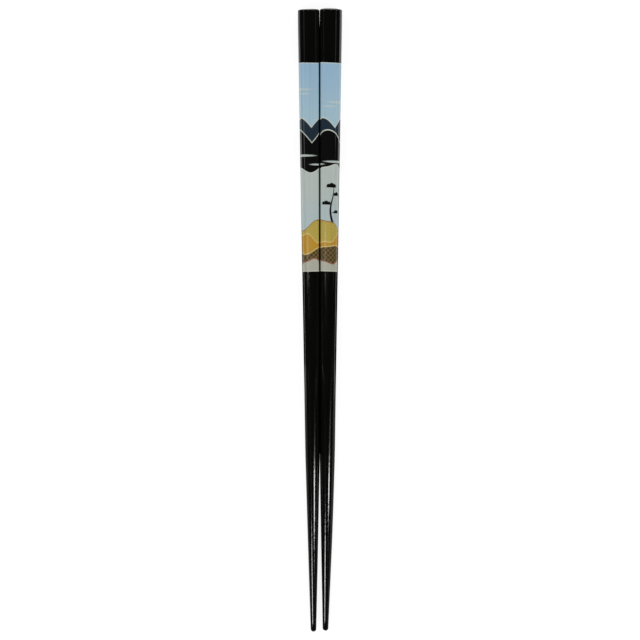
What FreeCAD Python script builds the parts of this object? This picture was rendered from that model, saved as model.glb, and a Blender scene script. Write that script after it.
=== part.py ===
"""A pair of lacquered wooden chopsticks with printed picture bands, lying side by side.

Each chopstick is one carved stick. It has a square section with rounded edges, a short straight butt at the
handle end, four flats that taper evenly to the shoulder, and a foot that narrows faster from there and turns
from square to nearly round at the tip. A thin printed film is wrapped round the grip and lies flush in a seat
as deep as the film is thick.

A stick is drawn upright in its own frame: the centre of the handle end is the origin and the tip points along
+Z. The pair then lies on its flats on the plane Z = 0, as chopsticks lie on a table. The handle ends point
along +Y, the tapered flats between the two sticks face each other, and X runs across the pair.
"""

import FreeCAD, Part
import math
import os
import Sketcher

DRIVING_SIZES = {
    "butt_width": (7.7, "width across the flats of the straight butt at the handle end"),
    "butt_length": (14.0, "length of the straight butt"),
    "butt_edge": (0.4, "radius that softens the edge of the handle end"),
    "corner_radius": (1.35, "radius of the four long edges, from the butt to the shoulder"),
    "collar_length": (5.5, "bare taper between the butt and the picture band"),
    "band_length": (75.8, "length of the printed film along the stick"),
    "shank_length": (52.7, "bare taper between the picture band and the shoulder"),
    "shoulder_width": (5.44, "width across the flats where the even taper ends"),
    "film_thickness": (0.08, "thickness of the printed film and depth of its seat"),
    "upper_foot_length": (20.0, "first stretch of the foot, below the shoulder"),
    "upper_foot_width": (4.84, "width across the flats at the end of that stretch"),
    "upper_foot_flat": (2.1, "width of one flat there"),
    "middle_foot_length": (18.0, "second stretch of the foot"),
    "middle_foot_width": (4.0, "width across the flats at the end of that stretch"),
    "middle_foot_flat": (1.2, "width of one flat there"),
    "lower_foot_length": (20.0, "third stretch of the foot"),
    "lower_foot_width": (2.95, "width across the flats at the end of that stretch"),
    "lower_foot_flat": (0.6, "width of one flat there"),
    "tip_length": (19.0, "last stretch of the foot, down to the tip"),
    "tip_width": (1.86, "width of the tip"),
    "tip_flat": (0.2, "width of one flat at the tip, which is all but round"),
    "tip_radius": (0.7, "radius that rounds the end of the tip"),
    "pair_gap": (0.03, "gap between the facing flats of the two sticks"),
    "pair_slip": (0.28, "how much further up the right stick lies than the left one"),
}

# Stations along a stick, from its handle end, and the widths of the taper at both ends of the band.
TAPER_LENGTH = "(sizes.collar_length + sizes.band_length + sizes.shank_length)"
TAPER_SLOPE = f"((sizes.butt_width - sizes.shoulder_width) / 2 / {TAPER_LENGTH})"
SHOULDER_AT = f"(sizes.butt_length + {TAPER_LENGTH})"
BAND_TOP_AT = "(sizes.butt_length + sizes.collar_length)"
BAND_TOP_WIDTH = f"(sizes.butt_width - 2 * {TAPER_SLOPE} * sizes.collar_length)"
BAND_END_AT = f"({BAND_TOP_AT} + sizes.band_length)"
BAND_END_WIDTH = f"({BAND_TOP_WIDTH} - 2 * {TAPER_SLOPE} * sizes.band_length)"
UPPER_FOOT_AT = f"({SHOULDER_AT} + sizes.upper_foot_length)"
MIDDLE_FOOT_AT = f"({UPPER_FOOT_AT} + sizes.middle_foot_length)"
LOWER_FOOT_AT = f"({MIDDLE_FOOT_AT} + sizes.lower_foot_length)"
TIP_AT = f"({LOWER_FOOT_AT} + sizes.tip_length)"

# Each section of the foot below the shoulder: its station, its width and the width of its flats.
FOOT_SECTIONS = {
    "upper_foot_section": (UPPER_FOOT_AT, "sizes.upper_foot_width", "sizes.upper_foot_flat"),
    "middle_foot_section": (MIDDLE_FOOT_AT, "sizes.middle_foot_width", "sizes.middle_foot_flat"),
    "lower_foot_section": (LOWER_FOOT_AT, "sizes.lower_foot_width", "sizes.lower_foot_flat"),
    "tip_section": (TIP_AT, "sizes.tip_width", "sizes.tip_flat"),
}

# A rounding takes at most this share of the room that its wall leaves.
ROUNDING_SHARE = 0.95
CORNER_RADIUS = f"min(sizes.corner_radius; {ROUNDING_SHARE} * sizes.shoulder_width / 2)"
BUTT_EDGE = f"min(sizes.butt_edge; {ROUNDING_SHARE} * {CORNER_RADIUS})"
TIP_RADIUS = f"min(sizes.tip_radius; {ROUNDING_SHARE} * (sizes.tip_width - sizes.tip_flat) / 2)"

# Two places this close, in millimetres, are one place.
SAME_PLACE = 0.001

# On which side of the middle each stick lies, which is also the way it slips along the other one.
SIDES = {"left": -1, "right": 1}

doc = FreeCAD.newDocument("chopsticks")


def make_sheet():
    """The spreadsheet of driving sizes, in millimetres, with a word as each value's alias."""
    sheet = doc.addObject("Spreadsheet::Sheet", "sizes")
    for row, (alias, (value, meaning)) in enumerate(DRIVING_SIZES.items(), start=1):
        sheet.set(f"A{row}", alias)
        sheet.set(f"B{row}", str(value))
        sheet.set(f"C{row}", meaning)
        sheet.setAlias(f"B{row}", alias)
    doc.recompute()
    return sheet


def value_of(expression):
    """The number that an expression of driving sizes has now."""
    result = sheet.evalExpression(expression)
    return float(getattr(result, "Value", result))


def add_feature(body, kind, name):
    return body.newObject(kind, f"{body.Name}_{name}")


def add_sketch(body, name, role, station=None):
    """A sketch on one of the body's own planes, moved along the plane's normal to a station."""
    sketch = add_feature(body, "Sketcher::SketchObject", name)
    plane = next(item for item in body.Origin.OriginFeatures if item.Role == role)
    sketch.AttachmentSupport = [(plane, "")]
    sketch.MapMode = "FlatFace"
    if station:
        sketch.setExpression("AttachmentOffset.Base.z", station)
    return sketch


def bind(sketch, kind, *places, size):
    """A size in a sketch that follows an expression. A distance runs towards + between its two points."""
    number = sketch.addConstraint(Sketcher.Constraint(kind, *places, value_of(size)))
    sketch.setExpression(f"Constraints[{number}]", size)


def draw_outline(sketch, corners):
    """A closed polygon. A corner is its side of the axis, its half width there and its station."""
    first = sketch.GeometryCount
    points = [FreeCAD.Vector(side * value_of(half), value_of(at), 0) for side, half, at in corners]
    for start, end in zip(points, points[1:] + points[:1]):
        sketch.addGeometry(Part.LineSegment(start, end))
    for place, (side, half, at) in enumerate(corners):
        line = first + place
        line_before = first + (place - 1) % len(corners)
        sketch.addConstraint(Sketcher.Constraint("Coincident", line_before, 2, line, 1))
        across = (-1, 1, line, 1) if side > 0 else (line, 1, -1, 1)
        bind(sketch, "DistanceX", *across, size=half)
        bind(sketch, "DistanceY", -1, 1, line, 1, size=at)


def draw_section(sketch, width, flat):
    """A square of a width whose rounded corners leave flats of a width between them."""
    reach = value_of(width) / 2
    flat_half = value_of(flat) / 2
    axis = FreeCAD.Vector(0, 0, 1)
    for quarter in range(4):
        turn = FreeCAD.Rotation(axis, 90 * quarter)
        start = turn.multVec(FreeCAD.Vector(reach, -flat_half, 0))
        end = turn.multVec(FreeCAD.Vector(reach, flat_half, 0))
        sketch.addGeometry(Part.LineSegment(start, end))
        centre = turn.multVec(FreeCAD.Vector(flat_half, flat_half, 0))
        circle = Part.Circle(centre, axis, reach - flat_half)
        begin = quarter * math.pi / 2
        sketch.addGeometry(Part.ArcOfCircle(circle, begin, begin + math.pi / 2))
    for quarter, direction in enumerate(("Vertical", "Horizontal", "Vertical", "Horizontal")):
        line = 2 * quarter
        arc = line + 1
        sketch.addConstraint(Sketcher.Constraint("Tangent", line, 2, arc, 1))
        sketch.addConstraint(Sketcher.Constraint("Tangent", arc, 2, (line + 2) % 8, 1))
        sketch.addConstraint(Sketcher.Constraint(direction, line))
        if quarter:
            sketch.addConstraint(Sketcher.Constraint("Equal", 1, arc))
    half = f"{width} / 2"
    bind(sketch, "DistanceX", -1, 1, 0, 1, size=half)
    bind(sketch, "DistanceY", -1, 1, 2, 1, size=half)
    bind(sketch, "DistanceX", 4, 1, -1, 1, size=half)
    bind(sketch, "DistanceY", 6, 1, -1, 1, size=half)
    bind(sketch, "Radius", 1, size=f"({width} - {flat}) / 2")


def end_face(shape, station):
    """The name of the flat face that closes a shape at a station."""
    for number, face in enumerate(shape.Faces, start=1):
        box = face.BoundBox
        if max(abs(box.ZMin - station), abs(box.ZMax - station)) < SAME_PLACE:
            return f"Face{number}"
    raise RuntimeError(f"no face lies at {station} mm")


def edges_at(shape, station):
    """The names of the edges that lie wholly at a station."""
    names = []
    for number, edge in enumerate(shape.Edges, start=1):
        box = edge.BoundBox
        if max(abs(box.ZMin - station), abs(box.ZMax - station)) < SAME_PLACE:
            names.append(f"Edge{number}")
    return names


def long_edges(shape):
    """The names of the edges that run along a bar."""
    names = []
    for number, edge in enumerate(shape.Edges, start=1):
        box = edge.BoundBox
        if box.ZLength > max(box.XLength, box.YLength):
            names.append(f"Edge{number}")
    return names


def round_edges(body, name, feature, edges, radius):
    """Rounds the named edges of the body's last feature."""
    fillet = add_feature(body, "PartDesign::Fillet", name)
    fillet.Base = (feature, edges)
    fillet.setExpression("Radius", radius)
    doc.recompute()
    return fillet


def make_tapered_bar(body, top_at, top_width, bottom_at, bottom_width):
    """A square bar whose four flats taper evenly, first cut from the side and then front and back."""
    top_half = f"{top_width} / 2"
    bottom_half = f"{bottom_width} / 2"
    outline = add_sketch(body, "side_outline", "XZ_Plane")
    right_edge = [(1, top_half, top_at), (1, bottom_half, bottom_at)]
    left_edge = [(-1, bottom_half, bottom_at), (-1, top_half, top_at)]
    draw_outline(outline, right_edge + left_edge)
    bar = add_feature(body, "PartDesign::Pad", "bar")
    bar.Profile = outline
    bar.Midplane = True
    bar.setExpression("Length", top_width)

    waste = add_sketch(body, "front_and_back_waste", "YZ_Plane")
    for side in (-1, 1):
        wedge = [(side, top_half, top_at), (side, top_half, bottom_at), (side, bottom_half, bottom_at)]
        draw_outline(waste, wedge)
    taper = add_feature(body, "PartDesign::Pocket", "front_and_back_taper")
    taper.Profile = waste
    taper.Midplane = True
    taper.Type = "ThroughAll"
    doc.recompute()
    return round_edges(body, "long_edges", taper, long_edges(taper.Shape), CORNER_RADIUS)


def make_blank(name):
    """The carved stick, before the seat of the film is cut into it."""
    body = doc.addObject("PartDesign::Body", name)
    grip = make_tapered_bar(
        body, "sizes.butt_length", "sizes.butt_width", SHOULDER_AT, "sizes.shoulder_width"
    )
    butt = add_feature(body, "PartDesign::Pad", "butt")
    butt.Profile = (grip, [end_face(grip.Shape, value_of("sizes.butt_length"))])
    butt.setExpression("Length", "sizes.butt_length")
    sections = []
    for section_name, (station, width, flat) in FOOT_SECTIONS.items():
        section = add_sketch(body, section_name, "XY_Plane", station)
        draw_section(section, width, flat)
        sections.append(section)
    doc.recompute()

    foot = add_feature(body, "PartDesign::AdditiveLoft", "foot")
    foot.Profile = (butt, [end_face(butt.Shape, value_of(SHOULDER_AT))])
    foot.Sections = [(section, [""]) for section in sections]
    doc.recompute()
    tip = round_edges(body, "tip_end", foot, edges_at(foot.Shape, value_of(TIP_AT)), TIP_RADIUS)
    round_edges(body, "butt_end", tip, edges_at(tip.Shape, 0), BUTT_EDGE)
    return body


def make_picture_band(name):
    """The printed film: a sleeve that follows the flats and the long edges of the grip."""
    body = doc.addObject("PartDesign::Body", name)
    core = make_tapered_bar(body, BAND_TOP_AT, BAND_TOP_WIDTH, BAND_END_AT, BAND_END_WIDTH)
    open_ends = [end_face(core.Shape, value_of(station)) for station in (BAND_TOP_AT, BAND_END_AT)]
    sleeve = add_feature(body, "PartDesign::Thickness", "sleeve")
    sleeve.Base = (core, open_ends)
    sleeve.Reversed = True
    sleeve.setExpression("Value", "sizes.film_thickness")
    doc.recompute()
    return body


def lay_down(item, side):
    """Lays a stick or its film on its lower flat, with the flat beside it facing the other stick."""
    lean = f"atan({TAPER_SLOPE})"
    reach = f"(sizes.butt_width / 2 * cos({lean}) + sizes.butt_length * sin({lean}))"
    across = f"{side} * (sizes.pair_gap / 2 + {reach})"
    along = f"{TIP_AT} / 2 + {side} * sizes.pair_slip / 2"
    turn = f"rotationz({-side} * {lean}) * rotationx(90 deg + {lean})"
    item.setExpression("Placement", f"placement(vector({across}; {along}; {reach}); {turn})")


def make_chopstick(side_name, side):
    """One chopstick and its film, as two sub-parts. The film itself cuts its seat."""
    blank = make_blank(f"{side_name}_blank")
    band = make_picture_band(f"{side_name}_picture_band")
    lay_down(blank, side)
    lay_down(band, side)
    stick = doc.addObject("Part::Cut", f"{side_name}_chopstick")
    stick.Base = blank
    stick.Tool = band
    doc.recompute()
    return [stick, band]


def check_document(subparts):
    """Stops before anything is written if a feature failed or a sub-part isn't one sound solid."""
    for item in doc.Objects:
        if "Invalid" in item.State or "Error" in item.State:
            raise RuntimeError(f"{item.Label} failed: {item.State}")
    for item in subparts:
        shape = item.Shape
        if shape.isNull() or not shape.isValid() or len(shape.Solids) != 1:
            raise RuntimeError(f"{item.Label} is not one valid solid")


def write_parts(subparts):
    """Writes each sub-part and prints its volume and the corners of its box."""
    os.makedirs("parts", exist_ok=True)
    for item in subparts:
        item.Shape.exportStep(f"parts/{item.Label}.step")
        box = item.Shape.BoundBox
        corners = (box.XMin, box.YMin, box.ZMin, box.XMax, box.YMax, box.ZMax)
        print(item.Label, f"{item.Shape.Volume:.1f} mm3", [round(corner, 2) for corner in corners])


sheet = make_sheet()
subparts = []
for side_name, side in SIDES.items():
    subparts += make_chopstick(side_name, side)
check_document(subparts)
write_parts(subparts)
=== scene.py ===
# %% [markdown]
# # A pair of lacquered chopsticks
# Two slim wooden sticks lie side by side on a table, seen from straight above. Each has a square grip with
# round corners, a foot that runs round and thin to the tip, and a printed film wrapped round the grip under
# clear lacquer. The imported CAD model is loaded first.

# %% Load the imported model
import math

import bmesh
import bpy
from mathutils import Matrix, Vector


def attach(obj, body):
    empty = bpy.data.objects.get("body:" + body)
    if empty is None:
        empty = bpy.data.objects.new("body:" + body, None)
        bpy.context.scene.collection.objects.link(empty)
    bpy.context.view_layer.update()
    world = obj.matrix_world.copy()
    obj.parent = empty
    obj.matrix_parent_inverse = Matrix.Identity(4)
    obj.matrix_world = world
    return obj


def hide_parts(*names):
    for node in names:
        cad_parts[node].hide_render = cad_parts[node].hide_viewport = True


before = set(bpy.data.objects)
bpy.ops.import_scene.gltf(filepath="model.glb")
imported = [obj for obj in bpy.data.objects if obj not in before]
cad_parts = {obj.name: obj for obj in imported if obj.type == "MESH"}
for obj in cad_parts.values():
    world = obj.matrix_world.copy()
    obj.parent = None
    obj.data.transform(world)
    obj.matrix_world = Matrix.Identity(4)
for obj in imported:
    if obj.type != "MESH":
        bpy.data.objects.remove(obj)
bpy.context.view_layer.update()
MM = 0.001


def in_mm(*corners):
    """The corners of a box in millimetres, for printing."""
    return [round(number / MM, 2) for corner in corners for number in corner]


# %% [markdown]
# ## The sizes
# All sizes are those of the real sticks, in metres. Each stick is made upright in its own place first: the
# middle of the handle end is the origin and the tip is up. It is laid down once it is finished. Such sticks
# are planed and sanded by hand, so the two differ a little, and their outer corners are rounder than the
# inner ones.

# %% Sizes of a stick
STICK_LENGTH = 225 * MM
# how wide the grip is at the end of the butt and at the shoulder. Its sides taper evenly through both.
BUTT_LENGTH = 14 * MM
BUTT_WIDTH = 7.7 * MM
SHOULDER = 148 * MM
SHOULDER_WIDTH = 5.44 * MM
TAPER_SLOPE = (BUTT_WIDTH - SHOULDER_WIDTH) / 2 / (SHOULDER - BUTT_LENGTH)
LEAN = math.atan(TAPER_SLOPE)
# nearer to the handle end than this, the stick keeps its width
TAPER_START = 7.6 * MM
# the radius of the two inner corners and of the two outer ones
CORNER_RADIUS = 1.35 * MM
OUTER_RADIUS = 2.1 * MM


def half_width(z):
    """Half the grip's width at distance z from the handle end."""
    return BUTT_WIDTH / 2 - TAPER_SLOPE * (max(z, TAPER_START) - BUTT_LENGTH)


print("half width at the handle end in mm:", round(half_width(0) / MM, 3))

# %% Sizes of the film
BAND_START = 19.8 * MM
BAND_END = 94.95 * MM
BAND_LENGTH = BAND_END - BAND_START
FILM_THICKNESS = 0.08 * MM
# the film's two ends run slightly askew, by these degrees, and each film sits a little up or down the stick
FILM_SKEWS = {"left": (1.4, -0.6), "right": (2.2, 1.6)}
FILM_SHIFT = {"left": -0.12 * MM, "right": 0.12 * MM}
print("half width at the film's ends in mm:", [round(half_width(z) / MM, 3) for z in (BAND_START, BAND_END)])

# %% Sizes of the pair
SIDES = {"left": -1, "right": 1}
# how much nearer to the tip end the left stick lies than the right one
PAIR_SLIP = 0.28 * MM
# the line where the two sticks touch, and how much wider each is across than it is high
CONTACT = -0.1 * MM
WIDTH_SHARES = {"left": 1.006, "right": 1.038}
# how far each stick's crowned inner side presses past that line, so that no light comes through
PRESS = 0.006 * MM
for name, share in WIDTH_SHARES.items():
    print(name, "handle end's width in mm:", round(2 * half_width(0) * share / MM, 2))

# %% [markdown]
# ## The camera
# The photograph looks straight down from about a metre, so the sticks show almost no perspective. The lens
# follows from the distance and from the width that the picture takes in at the height of the sticks' middle.
# The sticks lay a hair askew and off the middle of the picture. Turning the camera and moving it aside
# keeps the model square in its own frame.

# %% Camera
CAMERA_HEIGHT = 1.0
CAMERA_TURN = math.radians(-0.036)
CAMERA_ASIDE = -0.02 * MM
CAMERA_ALONG = 0.07 * MM
PICTURE_WIDTH = 231.05 * MM
SENSOR = 36.0
NEAREST = 0.01
FARTHEST = 10

camera_data = bpy.data.cameras.new("camera")
camera_data.sensor_width = SENSOR
camera_data.lens = SENSOR * (CAMERA_HEIGHT - BUTT_WIDTH / 2) / PICTURE_WIDTH
camera_data.clip_start = NEAREST
camera_data.clip_end = FARTHEST
camera = bpy.data.objects.new("camera", camera_data)
camera.location = (CAMERA_ASIDE, CAMERA_ALONG, CAMERA_HEIGHT)
camera.rotation_euler = (0, 0, CAMERA_TURN)
bpy.context.scene.collection.objects.link(camera)
bpy.context.scene.camera = camera
print("lens in mm:", round(camera_data.lens, 1))

# %% [markdown]
# ## Patterns as formulas
# Every finish here is made of nodes. A node graph is hard to read in code, so a small class lets the outputs
# of nodes be added and multiplied like numbers: each sign makes one Math node. The colours are written as on
# a paint chart, and the Standard view shows them about as they are written.

# %% Helpers for nodes
bpy.context.scene.view_settings.view_transform = "Standard"
WHITE = (1, 1, 1, 1)


class Formula:
    """A node's output that can be added and multiplied, so that a pattern reads as a formula."""

    def __init__(self, tree, socket):
        self.tree = tree
        self.socket = socket

    def math(self, operation, *others):
        node = self.tree.nodes.new("ShaderNodeMath")
        node.operation = operation
        for slot, value in zip(node.inputs, (self, *others)):
            plug(self.tree, slot, value)
        return Formula(self.tree, node.outputs[0])

    def __add__(self, other):
        return self.math("ADD", other)

    def __sub__(self, other):
        return self.math("SUBTRACT", other)

    def __mul__(self, other):
        return self.math("MULTIPLY", other)

    def __truediv__(self, other):
        return self.math("DIVIDE", other)

    def sine(self, per, shift=0.0):
        """The sine of this length, one wave per given length, moved on by a share of a wave."""
        return (self * (math.tau / per) + shift * math.tau).math("SINE")

    def rising(self, low, high):
        """Rises smoothly from 0 at low to 1 at high."""
        node = self.tree.nodes.new("ShaderNodeMapRange")
        node.interpolation_type = "SMOOTHSTEP"
        plug(self.tree, node.inputs["Value"], self)
        node.inputs["From Min"].default_value = low
        node.inputs["From Max"].default_value = high
        return Formula(self.tree, node.outputs["Result"])

    def falling(self, low, high):
        """Falls smoothly from 1 at low to 0 at high."""
        return self.rising(low, high) * -1 + 1


def plug(tree, slot, value):
    """Gives an input a fixed value, or links it to a formula."""
    if isinstance(value, Formula):
        tree.links.new(value.socket, slot)
    else:
        slot.default_value = value


def blend(tree, below, above, share):
    """Lays one colour over another by a share from 0 to 1."""
    node = tree.nodes.new("ShaderNodeMix")
    node.data_type = "RGBA"
    plug(tree, node.inputs["Factor"], share)
    # a Mix node has one A, one B and one result for each kind of data, and these are the ones for colours
    plug(tree, node.inputs[6], below)
    plug(tree, node.inputs[7], above)
    return Formula(tree, node.outputs[2])


def paint(red, green, blue):
    """A colour as a paint chart gives it, from 0 to 255, made linear for a shader."""
    shades = [c / 255 for c in (red, green, blue)]
    return (*[s / 12.92 if s < 0.04045 else ((s + 0.055) / 1.055) ** 2.4 for s in shades], 1.0)


def new_material(name):
    """An empty material, its node tree and its shader."""
    material = bpy.data.materials.new(name)
    material.use_nodes = True
    return material, material.node_tree, material.node_tree.nodes["Principled BSDF"]


def place_parts(tree, output):
    """One of the Texture Coordinate node's outputs, and its three parts."""
    place = tree.nodes.new("ShaderNodeTexCoord").outputs[output]
    parts = tree.nodes.new("ShaderNodeSeparateXYZ")
    tree.links.new(place, parts.inputs[0])
    return place, [Formula(tree, part) for part in parts.outputs]


print("the view is", bpy.context.scene.view_settings.view_transform)

# %% [markdown]
# ## The floor
# The sticks lie on white paper. The floor scatters light like paper and keeps their soft shadow. What the
# camera and the gloss see of it is lifted to white by a little glow, which lights nothing else. The glow is
# weaker where the real paper lies in the shade: beside the tips, and in the wedge between the handle ends.

# %% Floor
FLOOR_SIZE = 4.0
FLOOR_PAINT = 0.25
FLOOR_GLOW = 0.85
# the glow that the gloss sees beside the grip and beside the tips, and where along the sticks it changes
GLOSS_GLOW = 1.0
GLOSS_GLOW_TIPS = 0.12
SHADE_FROM = 0.0
SHADE_TO = -45 * MM
# the wedge keeps this share of the glow within its core, and its shade fades out to its edges
WEDGE_GLOW = 0.32
WEDGE_WIDTH = 1.4 * MM
WEDGE_CORE = 0.98 * MM
WEDGE_TOP = 112.6 * MM
WEDGE_TOP_CORE = 111.8 * MM
WEDGE_FOOT_CORE = 100 * MM
WEDGE_FOOT = 90 * MM

bpy.ops.object.select_all(action="DESELECT")
bpy.ops.mesh.primitive_plane_add(size=FLOOR_SIZE)
floor = bpy.context.object
floor.name = "floor"
paper, tree, shader = new_material("white_paper")
shader.inputs["Base Color"].default_value = (FLOOR_PAINT, FLOOR_PAINT, FLOOR_PAINT, 1)
shader.inputs["Roughness"].default_value = 1.0
shader.inputs["Specular IOR Level"].default_value = 0.0
rays = tree.nodes.new("ShaderNodeLightPath")
x, y, z = place_parts(tree, "Object")[1]
lit = y.rising(SHADE_TO, SHADE_FROM)
wedge = (x - CONTACT).math("ABSOLUTE").falling(WEDGE_CORE, WEDGE_WIDTH)
wedge = wedge * y.falling(WEDGE_TOP_CORE, WEDGE_TOP) * y.rising(WEDGE_FOOT, WEDGE_FOOT_CORE)
seen = Formula(tree, rays.outputs["Is Camera Ray"])
seen = seen.math("MAXIMUM", Formula(tree, rays.outputs["Is Transmission Ray"]))
seen = seen * (wedge * (WEDGE_GLOW - 1) + 1)
mirrored = Formula(tree, rays.outputs["Is Glossy Ray"])
mirrored = mirrored * (lit * (GLOSS_GLOW - GLOSS_GLOW_TIPS) + GLOSS_GLOW_TIPS)
shader.inputs["Emission Color"].default_value = WHITE
plug(tree, shader.inputs["Emission Strength"], seen * FLOOR_GLOW + mirrored)
floor.data.materials.append(paper)
print(floor.name, "nodes:", len(tree.nodes))

# %% [markdown]
# ## The light of the room
# The room is an even soft light for matt surfaces. Gloss sees it dark overhead and pale near the horizon, as
# in a studio with a white sweep and a dark ceiling, and that is why the flat tops of the sticks stay black.
# The sweep is brighter on the right, and dim beyond the tips, so that the round feet get no extra rims.

# %% Room light
AMBIENT_LOW = 1.4
AMBIENT_OVERHEAD = 0.15
# the heights, as the upward part of a direction, between which the matt light changes
OVERHEAD_FROM = 0.5
OVERHEAD_TO = 0.9
CEILING_DARK = 0.015
HORIZON_RIGHT = 3.5
HORIZON_LEFT = 1.0
# the sideways part of a direction at which the sweep has its full brightness for that side
SWEEP_ASIDE = 0.9
HORIZON_TOP = 0.22
# beyond the tips the sweep keeps this share of its brightness, and it changes between these directions
TIP_END_SHARE = 0.15
TIP_END_FROM = -0.02
TIP_END_TO = -0.08

world = bpy.data.worlds.new("room")
bpy.context.scene.world = world
world.use_nodes = True
tree = world.node_tree
background = tree.nodes["Background"]
rays = tree.nodes.new("ShaderNodeLightPath")
# on a world, Generated is the direction that a ray goes in
across, to_handle, up = place_parts(tree, "Generated")[1]
brighter_right = across.rising(-SWEEP_ASIDE, SWEEP_ASIDE) * (HORIZON_RIGHT - HORIZON_LEFT) + HORIZON_LEFT
dimmer_at_tips = to_handle.rising(TIP_END_TO, TIP_END_FROM) * (1 - TIP_END_SHARE) + TIP_END_SHARE
gloss_sees = up.falling(0.0, HORIZON_TOP) * (brighter_right * dimmer_at_tips) + CEILING_DARK
matt_sees = up.rising(OVERHEAD_FROM, OVERHEAD_TO) * (AMBIENT_OVERHEAD - AMBIENT_LOW) + AMBIENT_LOW
is_camera = Formula(tree, rays.outputs["Is Camera Ray"])
is_gloss = Formula(tree, rays.outputs["Is Glossy Ray"])
is_through = Formula(tree, rays.outputs["Is Transmission Ray"])
is_matt = (is_camera + is_gloss + is_through) * -1 + 1
strength = is_camera + is_through + is_gloss * gloss_sees + is_matt * matt_sees
plug(tree, background.inputs["Strength"], strength)
background.inputs["Color"].default_value = WHITE
print(world.name, "nodes:", len(tree.nodes))

# %% [markdown]
# ## The lamps
# Two soft boxes stand left and right of the camera, over the tip end. Their reflections are the two bright
# lines that run along the round foot of each stick. A lamp 28 degrees off the camera's line is mirrored
# where the lacquer turns 14 degrees away from the camera, a quarter of the way out from the stick's middle.
# The small lamps give a fainter start to the right line, a short streak and a spot by the film's lower end,
# a faint line down the left corners below it, and two dim lines on the handle ends.

# %% Lamps
LAMP_DISTANCE = 0.8
# name, degrees off the camera's line, place along the sticks, size across, size along, brightness
LAMPS = (
    ("right_box", 28, -0.166, 0.20, 0.052, 16),
    ("right_glow", 28, -0.13, 0.20, 0.05, 1.0),
    ("left_box", -28, -0.244, 0.20, 0.10, 14),
    ("left_strip", -9, 0.0125, 0.04, 0.0255, 6),
    ("left_glow", -25, -0.0385, 0.05, 0.08, 0.9),
    ("left_spot", -4.0, 0.022, 0.012, 0.03, 11),
    ("left_back_strip", -8, 0.175, 0.06, 0.10, 0.3),
    ("right_back_strip", 9, 0.175, 0.06, 0.10, 0.6),
)


def soft_box(name, off_axis, place_y, size_x, size_y, brightness):
    """An oval area lamp off_axis degrees to the side of the camera's line, aimed at the sticks."""
    data = bpy.data.lights.new(name, "AREA")
    data.shape = "ELLIPSE"
    data.size = size_x
    data.size_y = size_y
    # a lamp's power is pi times its brightness times its area
    oval_area = math.pi / 4 * size_x * size_y
    data.energy = math.pi * brightness * oval_area
    lamp = bpy.data.objects.new(name, data)
    turn = math.radians(off_axis)
    lamp.location = (math.sin(turn) * LAMP_DISTANCE, place_y, math.cos(turn) * LAMP_DISTANCE)
    lamp.rotation_euler = (0, turn, 0)
    bpy.context.scene.collection.objects.link(lamp)
    print(name, "watts:", round(data.energy, 4))


for lamp in LAMPS:
    soft_box(*lamp)

# %% [markdown]
# ## Modelling helpers
# A stick is drawn as a face with round corners that is extruded from station to station and brought to each
# station's size. An operator works on all that is selected, so each helper selects just the points it means.

# %% Selecting
TINY = 0.01 * MM
# a face whose middle is this near to the stick's middle line is an end face
INNER = BUTT_WIDTH / 4


def points_in_hand():
    """The numbers of the selected points."""
    shape = bmesh.from_edit_mesh(bpy.context.object.data)
    return [v.index for v in shape.verts if v.select]


def places_in_hand():
    """The places of the selected points."""
    shape = bmesh.from_edit_mesh(bpy.context.object.data)
    return [v.co.copy() for v in shape.verts if v.select]


def hold(numbers, test=lambda p: True):
    """Selects those of the numbered points whose place passes the test."""
    mesh = bpy.context.object.data
    bpy.ops.mesh.select_mode(type="VERT")
    bpy.ops.mesh.select_all(action="DESELECT")
    shape = bmesh.from_edit_mesh(mesh)
    shape.verts.ensure_lookup_table()
    for number in numbers:
        if test(shape.verts[number].co):
            shape.verts[number].select_set(True)
    shape.select_flush(True)
    bmesh.update_edit_mesh(mesh)


def pick(kind, test):
    """Selects the edges or faces whose middle passes the test."""
    mesh = bpy.context.object.data
    bpy.ops.mesh.select_mode(type=kind)
    bpy.ops.mesh.select_all(action="DESELECT")
    shape = bmesh.from_edit_mesh(mesh)
    for part in shape.edges if kind == "EDGE" else shape.faces:
        middle = sum((v.co for v in part.verts), Vector()) / len(part.verts)
        if test(middle):
            part.select_set(True)
    bmesh.update_edit_mesh(mesh)


def ring_half():
    """Half the width of the points in hand."""
    sideways = [place.x for place in places_in_hand()]
    return (max(sideways) - min(sideways)) / 2


def face_middle():
    """The middle of the points in hand."""
    places = places_in_hand()
    return sum(places, Vector()) / len(places)


print("an end face's middle lies within", INNER / MM, "mm of the middle line")

# %% [markdown]
# ## The moves of a bar
# The bar starts as a plane. Bevelling its points makes the round corners, and a touch of To Sphere gives the
# sides the slight crown that sanding leaves. From there the face is only extruded, narrowed, scaled and
# turned, so that the lines of the mesh run straight along the stick, as the grain does.

# %% The bar's operators
CORNER_SEGMENTS = 8
SIDE_CUTS = 7
CROWN = 0.06
# points further out than this share of the flat side belong to a round corner
CORNER_FROM = 0.9


def resize(share):
    """Scales the face in hand about the stick's middle line."""
    bpy.ops.transform.resize(value=(share, share, 1))


def skew(degrees):
    """Turns the face in hand a little, as a wrapped film's end is."""
    bpy.ops.transform.rotate(value=math.radians(degrees), orient_axis="Y", center_override=face_middle())


def rise(length, aside=0.0, down=0.0):
    """Extrudes the face in hand away from the handle end, and a little to one side and down."""
    bpy.ops.mesh.extrude_region_move(TRANSFORM_OT_translate={"value": (aside, -down, length)})


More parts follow.
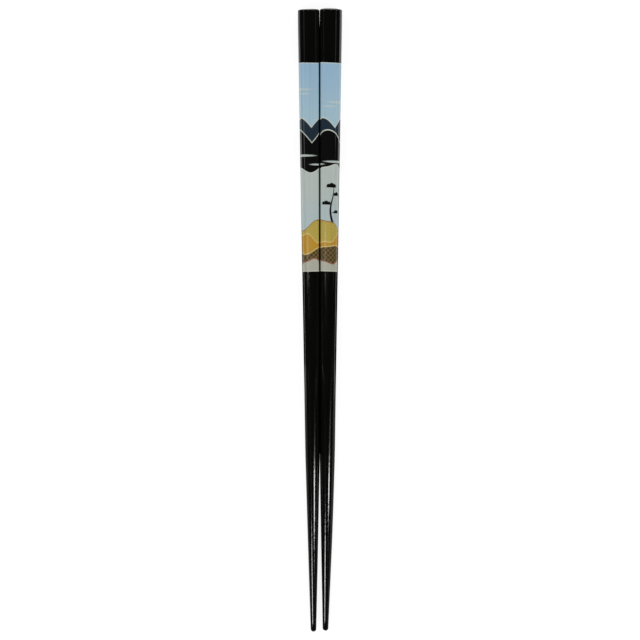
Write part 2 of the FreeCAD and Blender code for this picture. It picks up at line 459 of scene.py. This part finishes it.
def narrow(flat, drop):
    """Brings the face's four sides in by drop. Its round corners keep their radius."""
    numbers = points_in_hand()
    corner_from = CORNER_FROM * flat
    for axis in (0, 1):
        for side in (-1, 1):
            hold(numbers, lambda p: side * p[axis] > corner_from)
            bpy.ops.transform.translate(value=[-side * drop * (i == axis) for i in range(3)])
        hold(numbers, lambda p: abs(p[axis]) < corner_from)
        bpy.ops.transform.resize(value=[1 - drop / flat * (i == axis) for i in range(3)])
    hold(numbers)


def taper_to(z_from, z_to):
    """Carries the grip on from one station to the next, along its taper."""
    rise(z_to - z_from)
    narrow(half_width(z_from) - CORNER_RADIUS, half_width(z_from) - half_width(z_to))


def start_bar(name, z, side):
    """A face with round corners and slightly crowned sides, z from the handle end, left in edit mode."""
    bpy.ops.object.select_all(action="DESELECT")
    bpy.ops.mesh.primitive_plane_add(size=2 * half_width(z), location=(0, 0, z))
    bar = bpy.context.object
    bar.name = name
    bpy.ops.object.transform_apply(location=True, rotation=True, scale=True)
    bpy.ops.object.mode_set(mode="EDIT")
    for corner_side, radius in ((side, OUTER_RADIUS), (-side, CORNER_RADIUS)):
        bpy.ops.mesh.select_all(action="SELECT")
        hold(points_in_hand(), lambda p: p.x * corner_side > half_width(z) - TINY)
        bpy.ops.mesh.bevel(affect="VERTICES", offset=radius, segments=CORNER_SEGMENTS)
    flat = half_width(z) - CORNER_RADIUS
    pick("EDGE", lambda middle: min(abs(middle.x), abs(middle.y)) < flat / 2)
    bpy.ops.mesh.subdivide(number_cuts=SIDE_CUTS)
    pick("FACE", lambda middle: True)
    bpy.ops.transform.tosphere(value=CROWN)
    resize(half_width(z) / ring_half())
    return bar


print("points round the section:", 4 * (CORNER_SEGMENTS + 1 + SIDE_CUTS))

# %% [markdown]
# ## The foot and the tip
# The foot is sanded to a round point before it is lacquered. Here it is pulled towards a circle ring by ring
# with To Sphere, and it ends in a half ball. No hand-made stick is quite straight, so each foot leans aside
# and bows down to the table a little, and the ring that would sink into the table is flattened from below.

# %% Foot sizes
FOOT_START = 128 * MM
# distance from the handle end and width, both in millimetres, and how far the ring goes on towards a circle
FOOT = (
    (134, 5.68, 0.25),
    (140, 5.57, 0.33),
    (146, 5.47, 0.4),
    (152, 5.38, 0.4),
    (158, 5.27, 0.4),
    (163, 5.11, 0.4),
    (168, 4.86, 0.5),
    (174, 4.57, 0.5),
    (180, 4.29, 0.5),
    (186, 4.0, 0.5),
    (192, 3.7, 0.6),
    (198, 3.4, 0.8),
    (204, 3.09, 1.0),
    (210, 2.77, 1.0),
    (216, 2.44, 1.0),
    (221, 2.16, 1.0),
    (224.05, 2.0, 1.0),
)
TIP_RADIUS = 0.97 * MM
# the rings of the half ball, in degrees from its foot to its pole
TIP_ANGLES = (15, 30, 45, 60, 75)
# how much more each stick's foot measures from its middle to its side, and where that comes and goes
FOOT_TRIM = {"left": 0.0, "right": 0.1 * MM}
TRIM_START = 150 * MM
TRIM_RUN = 25 * MM
TRIM_END = 216 * MM
# how far the foot leans aside by its tip, and the distance where that begins
SWAY = {"left": -0.27 * MM, "right": -0.16 * MM}
SWAY_START = {"left": 156 * MM, "right": 190 * MM}
# the slope in degrees at which each foot bows down to the table, and the length over which it is reached
BOW = {"left": -0.04, "right": 0.52}
BOW_RUN = 20 * MM
# how far the handle end's lower side stands above the table, as its last millimetres don't taper
TABLE_CLEAR = 0.05 * MM


def foot_trim(side_name, distance):
    """How much the foot is wider at this distance. It grows slowly and is gone again by the tip."""
    grown = min(1, max(0, distance - TRIM_START) / TRIM_RUN)
    left_over = min(1, max(0, TRIM_END - distance) / TRIM_RUN)
    return FOOT_TRIM[side_name] * grown * left_over


def keep_off_table(distance):
    """Flattens the ring in hand from below where it would sink into the table."""
    heights = [place.y for place in places_in_hand()]
    table = distance * TAPER_SLOPE - half_width(0) - TABLE_CLEAR
    sunk = table - min(heights)
    if sunk > 0:
        share = 1 - sunk / (max(heights) - min(heights))
        bpy.ops.transform.resize(value=(1, share, 1))
        bpy.ops.transform.translate(value=(0, sunk / 2, 0))


def make_foot(side_name):
    """Carries the stick on from the grip to the last ring before the tip, and returns its distance."""
    reached = FOOT_START
    sway_start = SWAY_START[side_name]
    for distance, width, rounding in FOOT:
        distance = distance * MM
        run = max(distance - max(reached, sway_start), 0)
        aside = SWAY[side_name] * run / (STICK_LENGTH - sway_start)
        bow = math.radians(BOW[side_name]) * min(1, (distance - FOOT_START) / BOW_RUN)
        rise(distance - reached, aside, (distance - reached) * bow)
        bpy.ops.transform.tosphere(value=rounding)
        resize((width * MM / 2 + foot_trim(side_name, distance)) / ring_half())
        keep_off_table(distance)
        reached = distance
    return reached


def make_tip(reached):
    """Closes the foot with a half ball."""
    tip_half = ring_half()
    for angle in TIP_ANGLES:
        height = STICK_LENGTH - TIP_RADIUS * (1 - math.sin(math.radians(angle)))
        rise(height - reached)
        resize(tip_half * math.cos(math.radians(angle)) / ring_half())
        reached = height
    rise(STICK_LENGTH - reached)
    bpy.ops.mesh.merge(type="CENTER")


print("rings of the foot and the tip:", len(FOOT) + len(TIP_ANGLES))

# %% [markdown]
# ## The stick
# The real stick is planed square and its corners are sanded round. Here the grip keeps its corner radius all
# the way. The film's seat is a shallow step in it, so that the film lies flush. The handle end is cut a
# little askew and sanded to a low dome, and its edge is broken.

# %% Stick
DOMES = {"left": 0.45 * MM, "right": 0.6 * MM}
# how much smaller each ring of the dome is than the last, and its share of the dome's height
DOME_RINGS = ((0.8, 0.4), (0.7, 0.33), (0.5, 0.2), (0.4, 0.07))
BUTT_EDGE = 0.5 * MM
BUTT_SEGMENTS = 4
# how far the end face is turned askew, in degrees
BUTT_SKEWS = {"left": -0.4, "right": 0.8}


def make_stick(side_name):
    """Draws one upright stick from its handle end to its tip."""
    dome = DOMES[side_name]
    stick = start_bar(side_name + "_stick", dome, SIDES[side_name])
    start_skew, end_skew = FILM_SKEWS[side_name]
    seat_start, seat_end = (end + FILM_SHIFT[side_name] for end in (BAND_START, BAND_END))
    rise(TAPER_START - dome)
    taper_to(TAPER_START, seat_start)
    skew(start_skew)
    rise(0)
    resize(1 - FILM_THICKNESS / half_width(seat_start))
    taper_to(seat_start, seat_end)
    skew(end_skew - start_skew)
    rise(0)
    resize(half_width(seat_end) / ring_half())
    skew(-end_skew)
    taper_to(seat_end, FOOT_START)
    make_tip(make_foot(side_name))
    return stick


def round_butt(side_name):
    """Turns the end face askew, softens the handle end's edge and gives the end face a low dome."""
    dome = DOMES[side_name]
    pick("FACE", lambda middle: middle.z < 2 * dome and middle.xy.length < INNER)
    skew(BUTT_SKEWS[side_name])
    pick("EDGE", lambda middle: middle.z < 2 * dome)
    bpy.ops.mesh.bevel(affect="EDGES", offset=BUTT_EDGE, segments=BUTT_SEGMENTS)
    pick("FACE", lambda middle: middle.z < 2 * dome and middle.xy.length < INNER)
    for share, lift in DOME_RINGS:
        rise(-dome * lift)
        resize(share)


# %% [markdown]
# ## Shading and laying down
# A finished mesh is shaded smooth, except where its faces meet at more than the sharp angle. It is then laid
# down with its lower side flat on the table. Each stick leans in by the angle of its taper, so that the two
# inner sides touch along one straight line.

# %% Finishing a mesh and laying it down
SHARP_FROM = math.radians(35)


def finish_mesh(piece):
    """Turns all faces outwards, leaves edit mode and shades the piece smooth between its sharp edges."""
    bpy.ops.mesh.select_all(action="SELECT")
    bpy.ops.mesh.normals_make_consistent(inside=False)
    bpy.ops.object.mode_set(mode="OBJECT")
    bpy.ops.object.shade_smooth_by_angle(angle=SHARP_FROM)
    weighted = piece.modifiers.new("weighted", "WEIGHTED_NORMAL")
    weighted.keep_sharp = True
    bpy.ops.object.modifier_apply(modifier="weighted")


def lay_down(piece, side_name):
    """Lays a finished piece on the table, on its side of the pair, with its lower side flat on the table."""
    side = SIDES[side_name]
    share = WIDTH_SHARES[side_name]
    lean_in = math.atan(TAPER_SLOPE * share)
    height = BUTT_WIDTH / 2 * math.cos(LEAN) + BUTT_LENGTH * math.sin(LEAN)
    reach = share * BUTT_WIDTH / 2 * math.cos(lean_in) + BUTT_LENGTH * math.sin(lean_in)
    middle_x = CONTACT + side * (reach - PRESS)
    place = Matrix.Translation((middle_x, STICK_LENGTH / 2 + side * PAIR_SLIP / 2, height))
    turn = Matrix.Rotation(-side * lean_in, 4, "Z") @ Matrix.Rotation(math.pi / 2 + LEAN, 4, "X")
    piece.matrix_world = place @ turn @ Matrix.Diagonal((share, 1, 1, 1))
    bpy.ops.object.transform_apply(location=True, rotation=True, scale=True)


def print_piece(piece):
    """Prints a piece's name, its number of faces and its box in millimetres."""
    print(piece.name, len(piece.data.polygons), in_mm(piece.bound_box[0], piece.bound_box[6]))


sticks = {}
for name in SIDES:
    stick = make_stick(name)
    round_butt(name)
    finish_mesh(stick)
    lay_down(stick, name)
    sticks[name] = stick
    print_piece(stick)

# %% [markdown]
# ## The printed film
# The film is a thin skin round the grip, flush with the lacquer. It is extruded like the grip, opened at
# both ends and given its thickness inwards. Its own UV map holds millimetres of the picture: across, both
# sticks share one picture that runs on round their outer sides, and along, it starts at the handle side.

# %% Film
def round_the_section(x, y, middle_x):
    """How far round the section a point is, in half widths: 0 on top, 1 at the right corner, 4 underneath."""
    if abs(x) <= abs(y):
        top = x / abs(y)
        if y > 0:
            return top
        return 4 - top if middle_x > 0 else -4 - top
    return 2 - y / x if x > 0 else -2 - y / x


def map_picture(film, side):
    """Writes the picture's place in millimetres to the film's UV map."""
    mesh = film.data
    layer = mesh.uv_layers.active or mesh.uv_layers.new()
    layer.name = "picture"
    for face in mesh.polygons:
        for loop in face.loop_indices:
            point = mesh.vertices[mesh.loops[loop].vertex_index].co
            half = half_width(point.z) / MM
            along = 0 if point.z < (BAND_START + BAND_END) / 2 else BAND_LENGTH / MM
            around = round_the_section(point.x, point.y, face.center.x)
            layer.data[loop].uv = (half * (around + side), along)


def make_film(side_name):
    """Draws one upright film, with its wall, and leaves it in edit mode."""
    start, end = (end + FILM_SHIFT[side_name] for end in (BAND_START, BAND_END))
    start_skew, end_skew = FILM_SKEWS[side_name]
    film = start_bar(side_name + "_film", start, SIDES[side_name])
    numbers = points_in_hand()
    taper_to(start, end)
    skew(end_skew)
    hold(numbers)
    skew(start_skew)
    pick("FACE", lambda middle: middle.xy.length < INNER)
    bpy.ops.mesh.delete(type="ONLY_FACE")
    bpy.ops.mesh.select_all(action="SELECT")
    bpy.ops.mesh.normals_make_consistent(inside=False)
    bpy.ops.object.mode_set(mode="OBJECT")
    wall = film.modifiers.new("wall", "SOLIDIFY")
    wall.thickness = FILM_THICKNESS
    wall.offset = -1
    bpy.ops.object.modifier_apply(modifier="wall")
    bpy.ops.object.mode_set(mode="EDIT")
    return film


films = {}
for name, side in SIDES.items():
    film = make_film(name)
    finish_mesh(film)
    map_picture(film, side)
    lay_down(film, name)
    films[name] = film
    print_piece(film)

# %% [markdown]
# ## Black lacquer
# The lacquer is a deep gloss black. It is never quite even: it sags in long soft waves, and on the foot it
# draws up in small beads that break the lamps' reflections into dashes. All of it is height in millimetres
# on Object coordinates, so that the waves keep their size. The handle end's edge has a few pale, rougher
# specks.

# %% Lacquer helpers
def noise(tree, place, size, detail=2.0):
    """Noise whose grain has the given size in millimetres across, along and up."""
    mapping = tree.nodes.new("ShaderNodeMapping")
    mapping.inputs["Scale"].default_value = [1 / (s * MM) for s in size]
    tree.links.new(place, mapping.inputs["Vector"])
    texture = tree.nodes.new("ShaderNodeTexNoise")
    texture.inputs["Scale"].default_value = 1.0
    texture.inputs["Detail"].default_value = detail
    tree.links.new(mapping.outputs[0], texture.inputs["Vector"])
    return Formula(tree, texture.outputs[0])


def raise_by(tree, shader, height):
    """Feeds a height in millimetres to a bump node on the shader's normal."""
    bump = tree.nodes.new("ShaderNodeBump")
    bump.inputs["Strength"].default_value = 1.0
    bump.inputs["Distance"].default_value = MM
    plug(tree, bump.inputs["Height"], height)
    tree.links.new(bump.outputs[0], shader.inputs["Normal"])


def object_place(tree):
    """The Object coordinate, and its three parts in millimetres."""
    place, parts = place_parts(tree, "Object")
    return place, [part * (1 / MM) for part in parts]


# %% Lacquer's waves and beads
# the size of one wave in millimetres across, along and up, and its height
SAG = (2.4, 16, 2.4)
SAG_HEIGHT = 0.009
BEADS = (0.8, 1.6, 0.8)
BEADS_HEIGHT = 0.014
PEEL = (0.35, 0.5, 0.35)
PEEL_HEIGHT = 0.0012
# the beads' share on the grip, and what is added on the foot and on the left stick's worn tip
BEADS_ON_GRIP = 0.1
BEADS_ON_FOOT = 0.9
BEADS_ON_WORN_TIP = 1.5
# between which places in millimetres the foot's beads and the worn tip's beads fade out
FOOT_ALONG = (-60, -25)
WORN_ALONG = (-110, -106)
WORN_ACROSS = (-1, 0)

lacquer, tree, shader = new_material("black_lacquer")
place, (x, y, z) = object_place(tree)
foot = y.falling(*FOOT_ALONG)
worn_tip = y.falling(*WORN_ALONG) * x.falling(*WORN_ACROSS)
sag = noise(tree, place, SAG) * SAG_HEIGHT
bead_share = foot * BEADS_ON_FOOT + worn_tip * BEADS_ON_WORN_TIP + BEADS_ON_GRIP
beads = noise(tree, place, BEADS) * BEADS_HEIGHT * bead_share
peel = noise(tree, place, PEEL, 1) * PEEL_HEIGHT
raise_by(tree, shader, sag + beads + peel)
print("waves and beads nodes:", len(tree.nodes))

# %% Lacquer's colour and gloss
LACQUER_IOR = 1.6
CLEAR_BLACK = (0.0012, 0.0012, 0.001, 1)
CLOUDED_BLACK = (0.0028, 0.0028, 0.0024, 1)
PALE_SPECK = (0.12, 0.115, 0.1, 1)
CLOUD = (3, 9, 3)
SPECKS = (0.5, 0.35, 0.5)
# specks are where their noise passes these levels, on the last millimetre of the handle end
SPECK_LEVELS = (0.58, 0.64)
SPECK_PLACE = (111.2, 111.5)
SMOOTHEST = 0.06
CLOUD_ROUGHER = 0.05
SPECKS_ROUGHER = 0.3

cloud = noise(tree, place, CLOUD, 4)
specks = noise(tree, place, SPECKS, 3).rising(*SPECK_LEVELS) * y.rising(*SPECK_PLACE)
base = blend(tree, CLEAR_BLACK, CLOUDED_BLACK, cloud)
plug(tree, shader.inputs["Base Color"], blend(tree, base, PALE_SPECK, specks))
plug(tree, shader.inputs["Roughness"], cloud * CLOUD_ROUGHER + SMOOTHEST + specks * SPECKS_ROUGHER)
shader.inputs["IOR"].default_value = LACQUER_IOR
print(lacquer.name, "nodes:", len(tree.nodes))

# %% [markdown]
# ## The picture on the film
# A generic landscape in layers: a blue sky with mist bars, dark round hills, a pale mist field with a pine,
# and golden fields with thin pale outlines above a strip of small checks. Each layer is a mask made from the
# UV map's millimetres, laid over the one before.

# %% Picture helpers
# half the width in millimetres over which a printed edge changes
SOFT = 0.12
# the length of a ridge's ripples as a share of its waves, and how far they are moved on
RIPPLE_WAVE = 0.37
RIPPLE_SHIFT = 0.3

film_paint, tree, shader = new_material("printed_film")
uv = tree.nodes.new("ShaderNodeUVMap")
uv.uv_map = "picture"
parts = tree.nodes.new("ShaderNodeSeparateXYZ")
tree.links.new(uv.outputs[0], parts.inputs[0])
across = Formula(tree, parts.outputs[0])
along = Formula(tree, parts.outputs[1])
place, (x, y, z) = object_place(tree)


def oval(middle_x, middle_y, half_x, half_y):
    """A filled oval."""
    dx = (across - middle_x) / half_x
    dy = (along - middle_y) / half_y
    reach = (dx * dx + dy * dy).math("SQRT")
    edge = SOFT / half_y
    return reach.falling(1 - edge, 1 + edge)


def ridge(height, swing, wave, shift, ripple):
    """How far a point is past a wavy ridge line, with ripples about a third as long as its waves."""
    waves = across.sine(wave, shift) * swing
    ripples = across.sine(wave * RIPPLE_WAVE, shift + RIPPLE_SHIFT) * ripple
    return along - (waves + ripples + height)


def mound(height, swing, wave, shift):
    """How far a point is past a row of round hills, one per given length, that meet in sharp valleys."""
    return along - (across.sine(2 * wave, shift).math("ABSOLUTE") * -swing + height)


def past(line, edge=0.0):
    """The mask of all that is past a ridge line."""
    return line.rising(edge - SOFT, edge + SOFT)


def outline(line, width):
    """A thin line just along a ridge."""
    return past(line) - past(line, width)


# %% Colours of the print
SKY_TOP = paint(152, 184, 207)
SKY_LOW = paint(166, 194, 206)
MIST = paint(183, 192, 187)
MIST_BLUE = paint(175, 191, 193)
INK = paint(12, 13, 12)
INK_BLUE = paint(34, 48, 58)
PALE = paint(205, 210, 198)
GOLD = paint(180, 163, 80)
AMBER = paint(186, 142, 52)
YELLOW = paint(208, 184, 120)
RUST = paint(140, 72, 42)
BROWN = paint(78, 60, 30)
BROWN_PALE = paint(112, 98, 66)
SAND = paint(174, 174, 160)
print("the sky's top as the shader takes it:", [round(c, 3) for c in SKY_TOP])

# %% Sky, hills and mist
# each bar of mist by its middle across and along, half its length and half its height
SKY_MISTS = ((-8, 9.6, 5.6, 0.42), (-6, 11.2, 2.6, 0.3), (8.5, 14.2, 6, 0.42), (3.4, 15.7, 2.4, 0.3))
HILL_MISTS = ((-7, 33.4, 5.4, 0.4), (6.6, 35.6, 5, 0.4), (-1, 36.6, 2.4, 0.3))
SKY_MIST_SHARE = 0.5
# how far a pale edge stands out before a hill and before the shore
HILL_EDGE = -0.4
SHORE_EDGE = -0.3
# between which places along the film the sky and the field of mist change colour
SKY_RUN = (0, 26)
MIST_RUN = (42, 60)

picture = blend(tree, SKY_TOP, SKY_LOW, along.rising(*SKY_RUN))
for mist in SKY_MISTS:
    picture = blend(tree, picture, PALE, oval(*mist) * SKY_MIST_SHARE)
far_hills = mound(height=23.5, swing=3.4, wave=8.3, shift=0.18)
picture = blend(tree, picture, PALE, past(far_hills, HILL_EDGE))
picture = blend(tree, picture, INK_BLUE, past(far_hills))
hills = mound(height=29, swing=4.6, wave=11.5, shift=0.62)
picture = blend(tree, picture, PALE, past(hills, HILL_EDGE))
picture = blend(tree, picture, INK, past(hills))
shore = ridge(height=38.2, swing=1.3, wave=17, shift=0.45, ripple=0.3)
picture = blend(tree, picture, PALE, past(shore, SHORE_EDGE))
picture = blend(tree, picture, MIST, past(shore))
picture = blend(tree, picture, MIST_BLUE, past(shore) * along.rising(*MIST_RUN))
for mist in HILL_MISTS:
    picture = blend(tree, picture, MIST, oval(*mist))
print("nodes with the hills:", len(tree.nodes))

# %% [markdown]
# ## The pine and the fields
# The pine is a thin trunk that leans in a slow wave and thickens towards its foot. Its pads are ovals cut
# flat below, with three tufts each. The fields are three ridges over one another: gold with furrows, amber,
# and checks. A thin line along each ridge is the mask of the ridge less the same mask a little further on.

# %% Pine
TRUNK_TOP = 44.2
TRUNK_FOOT = 60
# the length over which the trunk's two ends fade out
TRUNK_END = 0.3
TRUNK_PLACE = 4.3
TRUNK_BEND = 0.6
TRUNK_WAVE = 15
TRUNK_SHIFT = 0.2
# half the trunk's girth at its top, and how fast it grows from there
TWIG_GIRTH = 0.1
GIRTH_GROWTH = 0.024
BRANCH_GIRTH = 0.16
# the middle of each branch across and along, and half its length, and the same for each pad of needles
BRANCHES = ((5.3, 47.6, 0.9), (3.2, 50.9, 1.0), (5.2, 53.9, 1.0))
PADS = ((4.2, 44.8, 1.9), (6.3, 47.7, 1.5), (2.3, 51, 1.6), (6.1, 54, 1.3))
# each tuft's place along its pad and how far it stands out, as shares of half the pad
TUFTS = ((-0.55, 0.3), (0, 0.5), (0.55, 0.3))
# half a pad's depth and half a tuft's length and depth, as shares of half the pad's length
PAD_DEPTH = 0.42
TUFT_LENGTH = 0.4
TUFT_DEPTH = 0.32
# the length over which a pad is cut off below its middle
PAD_CUT = 0.25

lean = along.sine(TRUNK_WAVE, TRUNK_SHIFT) * TRUNK_BEND + TRUNK_PLACE
girth = (along - TRUNK_TOP) * GIRTH_GROWTH + TWIG_GIRTH
trunk = ((across - lean).math("ABSOLUTE") - girth).falling(-SOFT, SOFT)
trunk = trunk * along.rising(TRUNK_TOP, TRUNK_TOP + TRUNK_END)
trunk = trunk * along.falling(TRUNK_FOOT - TRUNK_END, TRUNK_FOOT)
for branch in BRANCHES:
    trunk = trunk.math("MAXIMUM", oval(*branch, BRANCH_GIRTH))
picture = blend(tree, picture, INK, trunk)
for pad_x, pad_y, half in PADS:
    needles = oval(pad_x, pad_y, half, PAD_DEPTH * half)
    for tuft_x, tuft_out in TUFTS:
        tuft_place = (pad_x + tuft_x * half, pad_y - tuft_out * half)
        tuft = oval(*tuft_place, TUFT_LENGTH * half, TUFT_DEPTH * half)
        needles = needles.math("MAXIMUM", tuft)
    picture = blend(tree, picture, INK, needles * along.falling(pad_y, pad_y + PAD_CUT))
print("nodes with the pine:", len(tree.nodes))

# %% Fields
# the distance between furrows, the part of it that is dark, where the first lies, and how strong they are
FURROW = 1.3
FURROW_DARK = (0.75, 0.95)
FURROWS_FROM = 0.8
FURROW_SHARE = 0.45
# the size of a dark and a pale check together, and how soft their edges are
CHECK = 1.7
CHECK_SOFT = 0.1
# the widths of the thin lines along the ridges
RUST_LINE = 0.3
RUST_SHARE = 0.8
YELLOW_LINE = 0.45
NEAR_LINE = 0.35

fields = ridge(height=58.5, swing=2.1, wave=19, shift=0.7, ripple=0.4)
picture = blend(tree, picture, GOLD, past(fields))
furrow = (fields / FURROW).math("FRACT").rising(*FURROW_DARK)
picture = blend(tree, picture, AMBER, past(fields, FURROWS_FROM) * furrow * FURROW_SHARE)
picture = blend(tree, picture, RUST, outline(fields, RUST_LINE) * RUST_SHARE)
terrace = ridge(height=63, swing=1.7, wave=15, shift=0.15, ripple=0.5)
picture = blend(tree, picture, AMBER, past(terrace))
picture = blend(tree, picture, YELLOW, outline(terrace, YELLOW_LINE))
slope = ridge(height=67, swing=1.5, wave=21, shift=0.55, ripple=0.3)
check = (across.sine(CHECK) * along.sine(CHECK)).rising(-CHECK_SOFT, CHECK_SOFT)
picture = blend(tree, picture, blend(tree, BROWN, BROWN_PALE, check), past(slope))
picture = blend(tree, picture, YELLOW, outline(slope, YELLOW_LINE))
near = ridge(height=71.2, swing=0.8, wave=12, shift=0.9, ripple=0.2)
picture = blend(tree, picture, SAND, past(near))
picture = blend(tree, picture, RUST, outline(near, NEAR_LINE))
print("nodes with the fields:", len(tree.nodes))

# %% [markdown]
# ## Edges and wear of the film, and the painted shade in its crack
# A pale hairline runs along both ends of the film, where the paper core of the print shows. Faint darker
# streaks run along the stick, with a fine grain of dirt. Where the two films meet, light gets down the crack
# only by going from film to film. Each time it takes on their colour again, so the colour there is the film's
# own raised to a power, and darker. This shade is painted into the film's colour.

# %% Edges, wear and painted crack shade
HAIRLINE = 0.4
HAIRLINE_SOFT = 0.1
HAIRLINE_SHARE = 0.5
# a dark colour for the streaks and the grain of dirt, and for the painted shade in the crack
GRIME_AND_SHADE = (0.004, 0.004, 0.004, 1)
# the size of the streaks and of the grain, the levels of noise where they show, and how strong they are
STREAKS = (0.9, 60, 3)
STREAKS_LEVELS = (0.5, 0.75)
STREAKS_SHARE = 0.09
GRAIN = (0.25, 0.25, 0.25)
GRAIN_LEVELS = (0.5, 0.9)
GRAIN_SHARE = 0.12
# how far out from the crack in millimetres the painted shade's deeper colour reaches, how dark it is, and the
# power
CRACK_SHADE_REACH = 0.43
CRACK_SHADE_DARK = 0.66
BOUNCES = 3

from_end = along.math("MINIMUM", along * -1 + BAND_LENGTH / MM)
hairline = from_end.falling(HAIRLINE - HAIRLINE_SOFT, HAIRLINE + HAIRLINE_SOFT)
picture = blend(tree, picture, PALE, hairline * HAIRLINE_SHARE)
streaks = noise(tree, place, STREAKS, 1).rising(*STREAKS_LEVELS)
picture = blend(tree, picture, GRIME_AND_SHADE, streaks * STREAKS_SHARE)
grain = noise(tree, place, GRAIN, 3).rising(*GRAIN_LEVELS)
picture = blend(tree, picture, GRIME_AND_SHADE, grain * GRAIN_SHARE)
# painted shade: the film's colour deepens and darkens towards the line where the two sticks touch
crack_shade = (x - CONTACT / MM).math("ABSOLUTE").falling(CRACK_SHADE_REACH / 3, CRACK_SHADE_REACH)
deeper_shade = tree.nodes.new("ShaderNodeGamma")
deeper_shade.inputs["Gamma"].default_value = BOUNCES
plug(tree, deeper_shade.inputs["Color"], picture)
picture = blend(tree, picture, Formula(tree, deeper_shade.outputs[0]), crack_shade)
picture = blend(tree, picture, GRIME_AND_SHADE, crack_shade * CRACK_SHADE_DARK)
plug(tree, shader.inputs["Base Color"], picture)
print("nodes with the wear:", len(tree.nodes))

# %% [markdown]
# ## The clear lacquer over the film
# The film lies under the same lacquer as the sticks, so it sags in the same waves and is about as smooth.

# %% Gloss of the film
FILM_IOR = 1.5
FILM_CLOUD = (3, 8, 3)
FILM_CLOUD_ROUGHER = 0.06
FILM_PEEL = (0.4, 0.5, 0.4)
FILM_PEEL_HEIGHT = 0.001

shader.inputs["IOR"].default_value = FILM_IOR
film_cloud = noise(tree, place, FILM_CLOUD, 4)
plug(tree, shader.inputs["Roughness"], film_cloud * FILM_CLOUD_ROUGHER + SMOOTHEST)
film_sag = noise(tree, place, SAG) * SAG_HEIGHT
film_peel = noise(tree, place, FILM_PEEL, 1) * FILM_PEEL_HEIGHT
raise_by(tree, shader, film_sag + film_peel)
print(film_paint.name, "nodes:", len(tree.nodes))

# %% [markdown]
# ## Dressing the frame
# Each piece gets its finish, says which CAD node it stands for, and rides on the only body, the root.

# %% Dress
for name in SIDES:
    for piece, node, finish, slot_name in (
        (sticks[name], name + "_chopstick", lacquer, "black_lacquer"),
        (films[name], name + "_picture_band", film_paint, "printed_film"),
    ):
        piece.data.materials.append(finish)
        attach(piece, "root")
        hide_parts(node)
        print(piece.name, "stands for", node)
